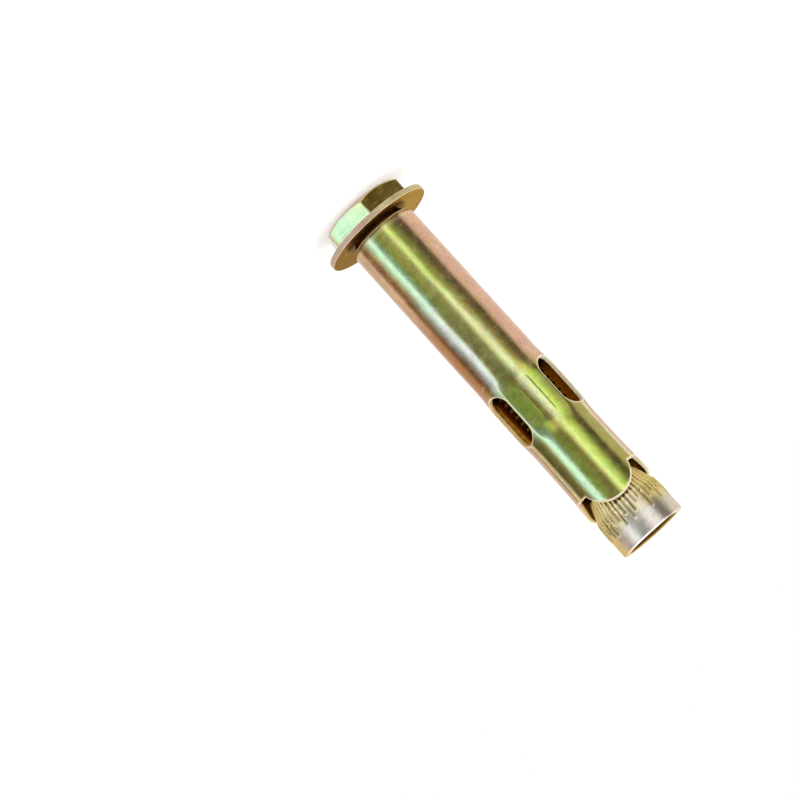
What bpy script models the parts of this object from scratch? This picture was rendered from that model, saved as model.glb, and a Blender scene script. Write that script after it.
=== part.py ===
"""Sleeve anchor (expansion bolt) with a thin hex head.

A bolt passes through a washer and a sleeve rolled from sheet steel, and screws into a ribbed cone nut.
Tightening draws the cone into the sleeve, whose three petals spread against the wall of a drilled hole.

The anchor stands on its head: the origin is the centre of the head's outer face, +Z runs from the head
to the nut, and -Y is the side that shows one whole petal between two windows. Lengths are in metres.
"""
import math

import bmesh
import bpy

MM = 0.001

# Bolt
SHANK_DIAMETER = 12.0 * MM
BOLT_END_RECESS = 3.3 * MM
THREAD_LENGTH = 42.0 * MM
THREAD_BODY_DIAMETER = 10.6 * MM
THREAD_RUNOUT = 1.2 * MM
BOLT_END_CHAMFER = 0.9 * MM
NECK_FILLET = 0.5 * MM
HEAD_ACROSS_FLATS = 18.8 * MM
HEAD_HEIGHT = 4.6 * MM
HEAD_FACE_DIAMETER = 17.4 * MM
HEAD_CHAMFER_ANGLE = math.radians(33.0)
HEAD_TURN = math.radians(-5.0)

# Washer
WASHER_DIAMETER = 25.6 * MM
WASHER_THICKNESS = 1.3 * MM
WASHER_HOLE_PLAY = 0.5 * MM
WASHER_EDGE_ROUND = 0.2 * MM
PUNCH_ROLL_DEPTH = 0.25 * MM
PUNCH_ROLL_MARGIN = 0.3 * MM

# Clearances between neighbours
HEAD_SEAT_GAP = 0.3 * MM
WASHER_TO_SLEEVE_GAP = 0.85 * MM
PETAL_SEAT_GAP = 0.28 * MM
THREAD_PLAY = 0.3 * MM

# Sleeve: sheet with windows, slits and round-ended petals, rolled round the bolt
SLEEVE_DIAMETER = 16.0 * MM
SLEEVE_LENGTH = 76.2 * MM
SHEET_THICKNESS = 0.9 * MM
PETAL_COUNT = 3
PATTERN_TURN = math.radians(-3.5)
WINDOW_START = 43.1 * MM
WINDOW_LENGTH = 12.4 * MM
WINDOW_WIDTH = 6.7 * MM
WINDOW_CORNER_RADIUS = 3.1 * MM
SLIT_WIDTH = 0.35 * MM
PETAL_END_RADIUS = 6.6 * MM
NOTCH_DEPTH = 4.8 * MM
FLARE_LENGTH = 14.0 * MM
FLARE_RISE = 0.45 * MM

# Panels between the windows: pressed flatter than the round sleeve, each with a low oblong rib
PANEL_FADE = 5.0 * MM
PANEL_SUNK = 0.5 * MM
PANEL_EDGE_LIFT = 0.3 * MM
RIB_LENGTH = 10.4 * MM
RIB_WIDTH = 3.7 * MM
RIB_FLANK = 0.7 * MM
RIB_RISE = 0.12 * MM

# Cone nut
NUT_DIAMETER = 15.9 * MM
NUT_LENGTH = 13.3 * MM
CONE_SMALL_DIAMETER = 12.3 * MM
CONE_LARGE_DIAMETER = 14.6 * MM
CONE_ANGLE = math.radians(17.0)
SHOULDER_DIAMETER = 15.6 * MM
SHOULDER_LENGTH = 0.9 * MM
COLLAR_LENGTH = 4.1 * MM
COLLAR_CHAMFER = 0.4 * MM
BORE_MOUTH_DIAMETER = 12.6 * MM
KNURL_COUNT = 44
KNURL_DEPTH = 0.38 * MM
KNURL_START_DEPTH = 0.15 * MM
KNURL_RUNOUT = 1.6 * MM
KNURL_CREST_SHARE = 0.4

# Fineness
ROUND_STEPS = 72
SHEET_EDGE_BAND = 3.0 * MM
ROOT_BAND = 0.8 * MM
MIN_COLUMN_STEP = 0.12 * MM

# Places along +Z that follow from the sizes above
WASHER_Z = HEAD_HEIGHT + HEAD_SEAT_GAP
SLEEVE_Z = WASHER_Z + WASHER_THICKNESS + WASHER_TO_SLEEVE_GAP
PETAL_TIP_Z = SLEEVE_Z + SLEEVE_LENGTH
TIP_INNER_RADIUS = SLEEVE_DIAMETER / 2 + FLARE_RISE - SHEET_THICKNESS
SEAT_RADIUS = TIP_INNER_RADIUS - PETAL_SEAT_GAP / math.cos(CONE_ANGLE)
NUT_Z = PETAL_TIP_Z - (SEAT_RADIUS - CONE_SMALL_DIAMETER / 2) / math.tan(CONE_ANGLE)
BOLT_END_Z = NUT_Z + NUT_LENGTH - BOLT_END_RECESS


def clear_scene():
    """Empty the scene of every object."""
    for obj in list(bpy.data.objects):
        bpy.data.objects.remove(obj, do_unlink=True)


def metal(name, colour, roughness):
    """Return a metallic Principled material of one linear colour."""
    material = bpy.data.materials.new(name)
    material.use_nodes = True
    shader = material.node_tree.nodes["Principled BSDF"]
    shader.inputs["Base Color"].default_value = (*colour, 1.0)
    shader.inputs["Metallic"].default_value = 1.0
    shader.inputs["Roughness"].default_value = roughness
    material.diffuse_color = (*colour, 1.0)
    return material


def add_object(name, bm, material, z=0.0):
    """Turn a bmesh into a smooth-shaded object whose origin is on the bolt's axis at height z."""
    mesh = bpy.data.meshes.new(name)
    bm.to_mesh(mesh)
    bm.free()
    mesh.shade_smooth()
    mesh.set_sharp_from_angle(angle=math.radians(28.0))
    obj = bpy.data.objects.new(name, mesh)
    obj.location.z = z
    bpy.context.collection.objects.link(obj)
    if material is not None:
        mesh.materials.append(material)
    return obj


def add_guide(name, bm):
    """Add a hidden solid that a Boolean modifier takes its shape from."""
    guide = add_object(name, bm, None)
    guide.display_type = 'WIRE'
    guide.hide_render = True
    return guide


def add_boolean(obj, guide, operation):
    """Combine an object with a guide solid by an exact Boolean modifier."""
    modifier = obj.modifiers.new(guide.name, 'BOOLEAN')
    modifier.object = guide
    modifier.operation = operation
    modifier.solver = 'EXACT'


def turned(profile, closed):
    """Spin a profile of (radius, z) points round the Z axis into a closed solid."""
    bm = bmesh.new()
    points = [bm.verts.new((radius, 0.0, z)) for radius, z in profile]
    edges = [bm.edges.new(pair) for pair in zip(points, points[1:])]
    if closed:
        edges.append(bm.edges.new((points[-1], points[0])))
    bmesh.ops.spin(
        bm, geom=points + edges, cent=(0, 0, 0), axis=(0, 0, 1),
        angle=math.tau, steps=ROUND_STEPS, use_merge=True,
    )
    bmesh.ops.remove_doubles(bm, verts=bm.verts, dist=0.001 * MM)
    bmesh.ops.recalc_face_normals(bm, faces=bm.faces)
    return bm


def quarter_arc(centre, radius, start_angle, end_angle, steps):
    """Return points along an arc about centre, both ends included."""
    angles = [start_angle + (end_angle - start_angle) * k / steps for k in range(steps + 1)]
    return [(centre[0] + radius * math.cos(a), centre[1] + radius * math.sin(a)) for a in angles]


def hex_prism():
    """Return the head's hexagonal bar, one corner turned by HEAD_TURN from the -Y side."""
    bm = bmesh.new()
    corner_radius = HEAD_ACROSS_FLATS / 2 / math.cos(math.pi / 6)
    first_corner = HEAD_TURN - math.pi / 2
    corners = []
    for k in range(6):
        angle = first_corner + k * math.pi / 3
        corners.append(bm.verts.new((corner_radius * math.cos(angle), corner_radius * math.sin(angle), 0.0)))
    base = bm.faces.new(corners)
    result = bmesh.ops.extrude_face_region(bm, geom=[base])
    top = [item for item in result["geom"] if isinstance(item, bmesh.types.BMVert)]
    bmesh.ops.translate(bm, verts=top, vec=(0, 0, HEAD_HEIGHT))
    bmesh.ops.recalc_face_normals(bm, faces=bm.faces)
    return bm


def head_chamfer_solid():
    """Return the turned solid that cuts the corners of the head's outer face to a cone."""
    face_radius = HEAD_FACE_DIAMETER / 2
    clear_radius = HEAD_ACROSS_FLATS
    cone_height = (clear_radius - face_radius) * math.tan(HEAD_CHAMFER_ANGLE)
    top = cone_height + HEAD_HEIGHT
    profile = [(0.0, 0.0), (face_radius, 0.0), (clear_radius, cone_height), (clear_radius, top), (0.0, top)]
    return turned(profile, False)


def shank_solid():
    """Return the turned shank: neck fillet, plain shank, thread body and chamfered end."""
    shank = SHANK_DIAMETER / 2
    thread = THREAD_BODY_DIAMETER / 2
    overlap_z = HEAD_HEIGHT / 2
    thread_z = BOLT_END_Z - THREAD_LENGTH
    fillet_centre = (shank + NECK_FILLET, HEAD_HEIGHT + NECK_FILLET)
    fillet = quarter_arc(fillet_centre, NECK_FILLET, -math.pi / 2, -math.pi, 3)
    profile = [(0.0, overlap_z), (fillet[0][0], overlap_z), *fillet]
    profile += [(shank, thread_z - THREAD_RUNOUT), (thread, thread_z)]
    profile += [(thread, BOLT_END_Z - BOLT_END_CHAMFER), (thread - BOLT_END_CHAMFER, BOLT_END_Z)]
    profile.append((0.0, BOLT_END_Z))
    return turned(profile, False)


def make_bolt(material):
    """Hex bar cut by the chamfer cone, joined to the turned shank."""
    bolt = add_object("hex_bolt", hex_prism(), material)
    add_boolean(bolt, add_guide("head_chamfer_guide", head_chamfer_solid()), 'INTERSECT')
    add_boolean(bolt, add_guide("shank_guide", shank_solid()), 'UNION')
    return bolt


def make_washer(material):
    """Stamped washer: broken edges, and a shallow roll round the hole where the punch drew the metal in.

    The roll ends just outside the sleeve, and the flat ring beyond it bears on the fixture.
    """
    outer = WASHER_DIAMETER / 2
    hole = SHANK_DIAMETER / 2 + WASHER_HOLE_PLAY
    edge = WASHER_EDGE_ROUND
    top = WASHER_THICKNESS
    roll_end = SLEEVE_DIAMETER / 2 + PUNCH_ROLL_MARGIN
    profile = [(hole, edge), (hole + edge, 0.0), (outer - edge, 0.0), (outer, edge)]
    profile += [(outer, top - edge), (outer - edge, top), (roll_end, top)]
    profile += [((hole + roll_end) / 2, top - PUNCH_ROLL_DEPTH / 4), (hole, top - PUNCH_ROLL_DEPTH)]
    return add_object("flat_washer", turned(profile, True), material, WASHER_Z)


class Sheet:
    """The sleeve's flat sheet, one panel at a time: offset runs round it, height along it.

    A panel reaches from one slit's centre line to the next, with its petal in the middle. Offsets are
    arc lengths at the outer surface, and heights start at the sleeve's head end.
    """

    def __init__(self):
        self.radius = SLEEVE_DIAMETER / 2
        self.pitch = math.tau * self.radius / PETAL_COUNT
        self.centre = self.pitch / 2
        self.slit_edge = SLIT_WIDTH / 2
        self.window_edge = WINDOW_WIDTH / 2
        self.window_corner = min(WINDOW_CORNER_RADIUS, self.window_edge, WINDOW_LENGTH / 2)
        self.window_end = WINDOW_START + WINDOW_LENGTH
        self.window_middle = (WINDOW_START + self.window_end) / 2
        self.notch_root = SLEEVE_LENGTH - NOTCH_DEPTH
        self.rib_foot = (self.window_middle - RIB_LENGTH / 2, self.window_middle + RIB_LENGTH / 2)
        self.rib_shoulder = (self.rib_foot[0] + RIB_WIDTH / 2, self.rib_foot[1] - RIB_WIDTH / 2)

    def window_inset(self, offset):
        """How far the window's rounded end stands back from its furthest point at this offset."""
        into_corner = offset - (self.window_edge - self.window_corner)
        if into_corner <= 0.0:
            return 0.0
        return self.window_corner - math.sqrt(max(self.window_corner**2 - into_corner**2, 0.0))

    def tail(self, offset):
        """Height of the sheet's tail edge: the notch's root, or the petal's round end."""
        from_petal = abs(offset - self.centre)
        if from_petal >= PETAL_END_RADIUS:
            return self.notch_root
        drop = PETAL_END_RADIUS - math.sqrt(PETAL_END_RADIUS**2 - from_petal**2)
        return max(self.notch_root, SLEEVE_LENGTH - drop)

    def half_panel_offsets(self):
        """Offsets from a slit's edge to the petal's centre line, denser where the outline bends."""
        corner_start = self.window_edge - self.window_corner
        offsets = [self.slit_edge, self.centre]
        offsets += [corner_start + self.window_corner * math.sin(math.pi * k / 6) for k in range(4)]
        root_rise = max(PETAL_END_RADIUS - NOTCH_DEPTH, 0.0)
        offsets.append(self.centre - math.sqrt(max(PETAL_END_RADIUS**2 - root_rise**2, 0.0)))
        rib_foot = self.centre - RIB_WIDTH / 2
        offsets += [self.window_edge + (rib_foot - self.window_edge) * k / 3 for k in range(1, 4)]
        offsets += [rib_foot + RIB_FLANK / 2, rib_foot + RIB_FLANK, self.centre - RIB_WIDTH / 6]
        kept = [self.slit_edge]
        for offset in sorted(offsets):
            if offset - kept[-1] > MIN_COLUMN_STEP:
                kept.append(offset)
        kept[-1] = self.centre
        return kept

    def panel_offsets(self):
        """Offsets across a whole panel, mirrored about the petal's centre line."""
        half = self.half_panel_offsets()
        return half + [self.pitch - offset for offset in reversed(half[:-1])]

    def heights(self, offset):
        """Heights of one column's points. The window lies between numbers 6 and 7."""
        offset = min(offset, self.pitch - offset)
        low = min(WINDOW_START, self.rib_foot[0]) - SHEET_EDGE_BAND
        high = max(self.window_end, self.rib_foot[1]) + SHEET_EDGE_BAND
        if offset <= self.window_edge + MIN_COLUMN_STEP / 2:
            bottom = WINDOW_START + self.window_inset(min(offset, self.window_edge))
            top = self.window_end - self.window_inset(min(offset, self.window_edge))
            below = [low + (bottom - low) * share for share in (0.5, 0.75, 0.9, 1.0)]
            above = [high + (top - high) * share for share in (1.0, 0.9, 0.75, 0.5)]
        else:
            rise = RIB_WIDTH / 2
            steps = (0.0, RIB_FLANK, (RIB_FLANK + rise) / 2, rise)
            below = [self.rib_foot[0] + step for step in steps]
            above = [self.rib_foot[1] - step for step in reversed(steps)]
        root = self.notch_root - ROOT_BAND
        petal = [high + (root - high) * k / 4 for k in range(5)]
        tail = self.tail(offset)
        end = [root + (tail - root) * share for share in (0.45, 0.8, 1.0)]
        return [0.0, low / 2, low, *below, *above, *petal, *end]

    def panel_press(self, side, height):
        """How far the panel stands out from the round sleeve beside a window, or in at its middle."""
        beside_window = min(height - WINDOW_START, self.window_end - height) + SHEET_EDGE_BAND
        share = min(max(beside_window / PANEL_FADE, 0.0), 1.0)
        across = min(side / (self.centre - self.window_edge), 1.0)
        lift = (PANEL_SUNK + PANEL_EDGE_LIFT) * across * across - PANEL_SUNK
        return lift * share * share * (3.0 - 2.0 * share)

    def point(self, turn, offset, height):
        """Roll one point of the sheet: its place on the sleeve's outer surface."""
        side = abs(offset - self.centre)
        spine = min(max(height, self.rib_shoulder[0]), self.rib_shoulder[1])
        into_rib = RIB_WIDTH / 2 - math.hypot(side, height - spine)
        share = min(max(into_rib / RIB_FLANK, 0.0), 1.0)
        rib = RIB_RISE * share * share * (3.0 - 2.0 * share)
        along_flare = max(height - (SLEEVE_LENGTH - FLARE_LENGTH), 0.0) / FLARE_LENGTH
        radius = self.radius + rib + self.panel_press(side, height) + FLARE_RISE * along_flare**2
        angle = turn + (offset - self.centre) / self.radius
        return (radius * math.sin(angle), -radius * math.cos(angle), height)


def make_sleeve(material):
    """Rolled sheet with a window, a slit and a notch between each two petals, and one butt seam."""
    sheet = Sheet()
    bm = bmesh.new()
    window_row = 6
    columns = []
    for panel in range(PETAL_COUNT):
        turn = PATTERN_TURN + math.tau * panel / PETAL_COUNT
        for offset in sheet.panel_offsets():
            rows = [bm.verts.new(sheet.point(turn, offset, height)) for height in sheet.heights(offset)]
            columns.append((panel, min(offset, sheet.pitch - offset), rows))
    seam_after_panel = PETAL_COUNT // 2
    following = columns[1:] + columns[:1]
    for (panel, offset, rows), (next_panel, next_offset, next_rows) in zip(columns, following):
        beside_window = min(offset, next_offset) < sheet.window_edge - MIN_COLUMN_STEP / 2
        across_slit = panel != next_panel
        if across_slit and panel == seam_after_panel:
            continue
        for row in range(len(rows) - 1):
            if row == window_row and beside_window:
                continue
            if row > window_row and across_slit:
                continue
            bm.faces.new((rows[row], next_rows[row], next_rows[row + 1], rows[row + 1]))
    sleeve = add_object("expansion_sleeve", bm, material, SLEEVE_Z)
    solidify = sleeve.modifiers.new("sheet_thickness", 'SOLIDIFY')
    solidify.thickness = SHEET_THICKNESS
    solidify.offset = -1.0
    solidify.use_even_offset = True
    return sleeve


def nut_outline():
    """Return the cone nut's outline as (height, crest radius, knurl depth) from its small end."""
    small = CONE_SMALL_DIAMETER / 2
    large = CONE_LARGE_DIAMETER / 2
    shoulder = SHOULDER_DIAMETER / 2
    body = NUT_DIAMETER / 2
    cone_end = (large - small) / math.tan(CONE_ANGLE)
    collar_start = NUT_LENGTH - COLLAR_LENGTH
    runout_start = collar_start - KNURL_RUNOUT
    shoulder_end = cone_end + SHOULDER_LENGTH
    taper = (body - shoulder) / (collar_start - shoulder_end)
    return [
        (0.0, small, KNURL_START_DEPTH),
        (cone_end * 0.5, (small + large) / 2, KNURL_DEPTH),
        (cone_end, large, KNURL_DEPTH),
        (shoulder_end, shoulder, KNURL_DEPTH),
        (runout_start, shoulder + taper * (runout_start - shoulder_end), KNURL_DEPTH),
        (collar_start, body, 0.0),
        (NUT_LENGTH - COLLAR_CHAMFER, body, 0.0),
        (NUT_LENGTH, body - COLLAR_CHAMFER, 0.0),
    ]


def bore_outline():
    """Return the bore's outline, from the nut's large end back to its small end."""
    mouth = BORE_MOUTH_DIAMETER / 2
    bore = THREAD_BODY_DIAMETER / 2 + THREAD_PLAY
    return [(NUT_LENGTH, mouth, 0.0), (NUT_LENGTH - (mouth - bore), bore, 0.0), (0.0, bore, 0.0)]


def knurl_ring(height, crest, depth):
    """Return one ring of the knurled section: two crest points and a groove's bottom for each rib."""
    points = []
    pitch = math.tau / KNURL_COUNT
    half_crest = KNURL_CREST_SHARE / 2
    for rib in range(KNURL_COUNT):
        for share, radius in ((-half_crest, crest), (half_crest, crest), (0.5, crest - depth)):
            angle = (rib + share) * pitch
            points.append((radius * math.sin(angle), -radius * math.cos(angle), height))
    return points


def make_nut(material):
    """Cone nut: knurled cone, plain collar and through bore, lofted ring by ring."""
    bm = bmesh.new()
    rings = []
    for height, crest, depth in nut_outline() + bore_outline():
        rings.append([bm.verts.new(point) for point in knurl_ring(height, crest, depth)])
    for ring, next_ring in zip(rings, rings[1:] + rings[:1]):
        for here in range(len(ring)):
            beside = (here + 1) % len(ring)
            bm.faces.new((ring[here], ring[beside], next_ring[beside], next_ring[here]))
    bmesh.ops.recalc_face_normals(bm, faces=bm.faces)
    return add_object("cone_nut", bm, material, NUT_Z)


def main():
    """Build the anchor's four pieces."""
    clear_scene()
    make_bolt(metal("bolt_yellow_zinc", (0.33, 0.30, 0.12), 0.3))
    make_washer(metal("washer_yellow_zinc", (0.42, 0.32, 0.14), 0.4))
    make_sleeve(metal("sleeve_yellow_zinc", (0.38, 0.42, 0.17), 0.25))
    make_nut(metal("nut_yellow_zinc", (0.45, 0.40, 0.22), 0.3))


main()
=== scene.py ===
"""Looks of a yellow zinc sleeve anchor: hex bolt, washer, rolled sleeve and ribbed cone nut.

The anchor stands on its head. +Z runs from the head to the nut, and angles round the axis are counted
from the -Y side towards +X. Lengths are in millimetres until `skin` turns them into metres.
"""

import math

import bpy
import numpy as np
from mathutils import Matrix, Vector


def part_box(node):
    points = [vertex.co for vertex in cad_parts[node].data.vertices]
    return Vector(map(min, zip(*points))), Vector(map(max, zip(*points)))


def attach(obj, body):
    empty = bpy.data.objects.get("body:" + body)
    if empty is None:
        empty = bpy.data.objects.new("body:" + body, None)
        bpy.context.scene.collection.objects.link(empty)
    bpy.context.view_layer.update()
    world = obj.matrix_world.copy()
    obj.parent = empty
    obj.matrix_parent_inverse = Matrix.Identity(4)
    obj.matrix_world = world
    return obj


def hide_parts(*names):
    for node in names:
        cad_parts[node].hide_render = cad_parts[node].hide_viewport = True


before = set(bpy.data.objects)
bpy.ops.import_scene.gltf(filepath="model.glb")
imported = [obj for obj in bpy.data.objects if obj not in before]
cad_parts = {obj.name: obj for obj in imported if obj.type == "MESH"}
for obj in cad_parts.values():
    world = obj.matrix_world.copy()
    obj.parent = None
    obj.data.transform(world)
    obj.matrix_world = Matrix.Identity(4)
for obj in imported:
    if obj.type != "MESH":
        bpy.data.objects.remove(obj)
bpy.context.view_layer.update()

MM = 0.001
TURN = 2.0 * math.pi
RANDOM = np.random.default_rng(20)


def top_of(node):
    """Height of a CAD node's highest point, in mm."""
    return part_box(node)[1].z / MM


def foot_of(node):
    """Height of a CAD node's lowest point, in mm."""
    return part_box(node)[0].z / MM


# Bolt
SHANK_RADIUS = 6.0
BOLT_END = top_of("hex_bolt")
THREAD_LENGTH = 42.0
THREAD_PITCH = 1.75
THREAD_CREST = 5.92
THREAD_ROOT = 4.86
END_CHAMFER = 1.0
NECK_FILLET = 0.5
HEAD_FLAT = 9.4
HEAD_HEIGHT = 4.6
HEAD_FACE_RADIUS = 8.7
HEAD_CHAMFER = math.radians(33.0)
HEAD_TURN = math.radians(-5.0)
HEAD_CORNER_ROUND = 0.3
FACE_EDGE_ROUND = 0.25
RIM_EDGE_ROUND = 0.14
SEAT_EDGE_ROUND = 0.16
THREAD_RUNOUT = 1.2

# Washer
WASHER_RADIUS = 12.8
WASHER_HOLE = 6.5
WASHER_FOOT = foot_of("flat_washer")
WASHER_TOP = top_of("flat_washer")
PUNCH_DIP = 0.22
PUNCH_DIP_RADIUS = 0.72 * WASHER_RADIUS
WASHER_WAVE = 0.012

# Sleeve
SLEEVE_RADIUS = 8.0
SLEEVE_FOOT = foot_of("expansion_sleeve")
SLEEVE_LENGTH = top_of("expansion_sleeve") - SLEEVE_FOOT
SHEET = 0.9
PETALS = 3
PATTERN_TURN = math.radians(-3.5)
SEAM_AT = PATTERN_TURN - math.pi
PANEL = TURN * SLEEVE_RADIUS / PETALS
WINDOW_START = 43.1
WINDOW_END = WINDOW_START + 12.4
WINDOW_HALF = 3.35
WINDOW_CORNER = 3.1
SLIT_HALF = 0.16
PETAL_ROUND = 6.6
NOTCH_DEPTH = 4.8
FLARE_LENGTH = 14.0
FLARE_RISE = 0.45
RIB_LENGTH = 12.0
RIB_WIDTH = 3.6
RIB_FLANK = 0.42
RIB_FADE = 2.4
RIB_ASIDE = 0.45
RIB_RISE = 0.09
RIB_CROWN = 0.07
PANEL_FLATTENED = 0.72
PANEL_SUNK = 0.42
PANEL_FLAT_REACH = 4.6
EDGE_ROLL = 0.24
TAIL_ROLL = 0.5
NOTCH_EASE = 0.5
ROLL_EASE = 1.5
BEND_BAND = 1.9
WINDOW_BOW = 0.9
PANEL_FADE = 5.0
PANEL_FADE_OUTSIDE = 3.0
SHEET_WAVE = 0.012
# Reach of the paler tint at the sheet's cut edges: partly plating, partly painted highlight.
PLATED_AND_HIGHLIGHT_REACH = 0.5

# Cone nut: heights of nicks from its small end, groove ends from its collar
NUT_FOOT = foot_of("cone_nut")
NUT_LENGTH = top_of("cone_nut") - NUT_FOOT
NUT_RADIUS = 7.95
CONE_SMALL = 6.15
CONE_LARGE = 7.3
CONE_ANGLE = math.radians(17.0)
SHOULDER_RADIUS = 7.8
SHOULDER_LENGTH = 0.9
SHOULDER_EASE = 0.2
KNURL_SWELL = 0.13
COLLAR_LENGTH = 4.1
NUT_RIBS = 44
RIB_DEPTH = 0.38
BORE_MOUTH = 6.3
BORE_PLAIN = 6.0
BORE_CREST = 5.15
BORE_CHAMFER = 0.42
NUT_EDGE_ROUND = 0.32
BORE_ROWS_START = 0.5
BORE_ROWS_LENGTH = 4.2

# Grooves and nicks: flank, lean, drift and width are shares of a rib's pitch, the depth one of RIB_DEPTH
GROOVE_FLANK = 0.28
GROOVE_LEAN = 0.14
GROOVE_DRIFT = 0.10
GROOVE_WIDTHS = (0.26, 0.42)
GROOVE_DEPTHS = (0.7, 1.15)
GROOVE_ENDS = (-2.7, 0.8)
NICK_HEIGHTS = (5.2, 6.9)
NICK_SIZES = (0.16, 0.36)
NICK_LENGTH = 0.28
NICKED_RIBS = 0.65

# Finish: sizes in mm, bumps in units of BUMP_UNIT; a reach is where the noise's values mostly lie
NOISE_REACH = (0.3, 0.7)
BAND_WANDER_SIZE = 6.0
BAND_WANDER = 0.07
CLOUD_SIZE = 2.5
CLOUD_TONES = (0.86, 1.07)
CLOUD_BUMP = 0.9
PATCH_SIZE = 1.6
SPECK_REACH = (0.58, 0.70)
HAIR_WIDTH = 0.3
HAIR_SQUEEZE = 0.08
HAIR_TINT = "EAE6D2"
HAIR_SHARE = 0.25
HAIR_BUMP = -0.5
HAIR_DULLS = 0.3
BUMP_UNIT = 0.01

# Floor and studio
FLOOR_SIDES = 96
FLOOR_RINGS = (10.0, 1500.0, 24)
FLOOR_DROP = 0.05
WHITE = (1.0, 1.0, 1.0, 1.0)
BLACK = (0.0, 0.0, 0.0, 1.0)
DARK_STRIP = (0.07, 0.06, 0.05, 1.0)
TABLE = (1.0, 0.99, 0.97, 1.0)
CEILING = (1.6, 1.6, 1.6, 1.0)

# Camera
CAMERA_PLACE = (0.0, -598.0, 138.48)
CAMERA_AIM = (20.86, 0.0, 36.34)
CAMERA_ROLL = math.radians(48.169)
CAMERA_LENS = 129.4


def smooth(x):
    """Ease from 0 to 1: three x squared less two x cubed, held flat outside."""
    x = np.clip(x, 0.0, 1.0)
    return x * x * (3.0 - 2.0 * x)


def ripple(a, b, count, longest, shortest, seed):
    """Sum of plane waves over two lengths, with random directions and phases; its spread is about one."""
    chance = np.random.default_rng(seed)
    total = np.zeros(np.broadcast(a, b).shape)
    for wave in np.geomspace(longest, shortest, count):
        heading = chance.uniform(0.0, TURN)
        phase = chance.uniform(0.0, TURN)
        total += np.sin(TURN / wave * (a * math.cos(heading) + b * math.sin(heading)) + phase)
    return total / math.sqrt(count / 2.0)


def around(radius, angle, height):
    """Point at a radius, an angle from -Y towards +X, and a height."""
    radius, angle, height = np.broadcast_arrays(radius, angle, height)
    return np.stack([radius * np.sin(angle), -radius * np.cos(angle), height], axis=-1)


def skin(name, points, faces, finishes, finish_of_face=None, crease=40.0, marks=None):
    """Mesh object from points in mm and lists of faces, shaded smooth but for creases over an angle."""
    mesh = bpy.data.meshes.new(name)
    mesh.from_pydata((points.reshape(-1, 3) * MM).tolist(), [], faces)
    for finish in finishes:
        mesh.materials.append(finish)
    if finish_of_face is not None:
        mesh.polygons.foreach_set("material_index", np.asarray(finish_of_face, np.int32))
    for mark, values in (marks or {}).items():
        layer = mesh.attributes.new(mark, 'FLOAT', 'POINT')
        layer.data.foreach_set("value", np.ascontiguousarray(values, np.float32).ravel())
    mesh.shade_smooth()
    mesh.set_sharp_from_angle(angle=math.radians(crease))
    mesh.update()
    obj = bpy.data.objects.new(name, mesh)
    bpy.context.scene.collection.objects.link(obj)
    return obj


def ring_faces(rows, columns, first=0, closed=False):
    """Quads of a grid whose columns close on themselves; the rows close too on a ring-shaped solid."""
    row = np.arange(rows if closed else rows - 1)[:, None]
    column = np.arange(columns)[None, :]
    beside = (column + 1) % columns
    above = (row + 1) % rows
    quads = np.stack([row * columns + column, row * columns + beside,
                      above * columns + beside, above * columns + column], axis=-1)
    return quads.reshape(-1, 4) + first


def turned_solid(name, grid, finishes, **more):
    """Closed solid of revolution-like rows: its first and last rows are points on the axis."""
    rows, columns = grid.shape[:2]
    points = np.concatenate([grid[0, :1], grid[1:-1].reshape(-1, 3), grid[-1, :1]])
    quads = ring_faces(rows - 2, columns, first=1)
    here = np.arange(columns)
    beside = (here + 1) % columns
    last = len(points) - 1
    low_fan = np.stack([np.zeros_like(here), beside + 1, here + 1], axis=-1)
    start = 1 + (rows - 3) * columns
    high_fan = np.stack([np.full_like(here, last), here + start, beside + start], axis=-1)
    faces = low_fan.tolist() + quads.tolist() + high_fan.tolist()
    return skin(name, points, faces, finishes, **more)


def bend(before, corner, after, cut, steps):
    """Rounded corner of a profile: a quadratic curve that leaves and meets the sides `cut` from it.

    Every argument is a (radius, height) pair of arrays over the angle; rows come back in order.
    """
    corner = np.stack(corner)
    rows = []
    ends = []
    for side in (np.stack(before), np.stack(after)):
        along = side - corner
        ends.append(corner + along / np.maximum(np.hypot(along[0], along[1]), 1e-9) * cut)
    for share in np.linspace(0.0, 1.0, steps + 1):
        rows.append((1 - share) ** 2 * ends[0] + 2 * share * (1 - share) * corner + share**2 * ends[1])
    return rows


def between(start, end, count):
    """Straight rows strictly between two (radius, height) pairs."""
    start, end = np.stack(start), np.stack(end)
    return [start + (end - start) * share for share in np.linspace(0.0, 1.0, count + 2)[1:-1]]


def thread_radius(phase, root, crest):
    """Metric thread over one pitch: a crest an eighth wide, a root a quarter wide, straight flanks."""
    rise = np.abs(2.0 * (phase - np.floor(phase)) - 1.0)
    return root + (crest - root) * np.clip((rise - 0.25) / 0.625, 0.0, 1.0)


def hexagon_rays():
    """Angles and reaches of a hexagon with rounded corners: straight flats joined by sixth-circle arcs."""
    across = HEAD_FLAT - HEAD_CORNER_ROUND
    half = across * math.tan(math.pi / 6)
    flat = np.linspace(-half, half, 21)
    bow = np.linspace(0.0, math.pi / 3, 8)[1:-1]
    out = np.concatenate([np.full(21, HEAD_FLAT), across + HEAD_CORNER_ROUND * np.cos(bow)])
    along = np.concatenate([flat, half + HEAD_CORNER_ROUND * np.sin(bow)])
    sides = np.arange(6)[:, None] * math.pi / 3 + HEAD_TURN + math.pi / 6
    angle = (sides + np.arctan2(along, out)[None, :]).ravel()
    return angle, np.tile(np.hypot(out, along), 6)


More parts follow.
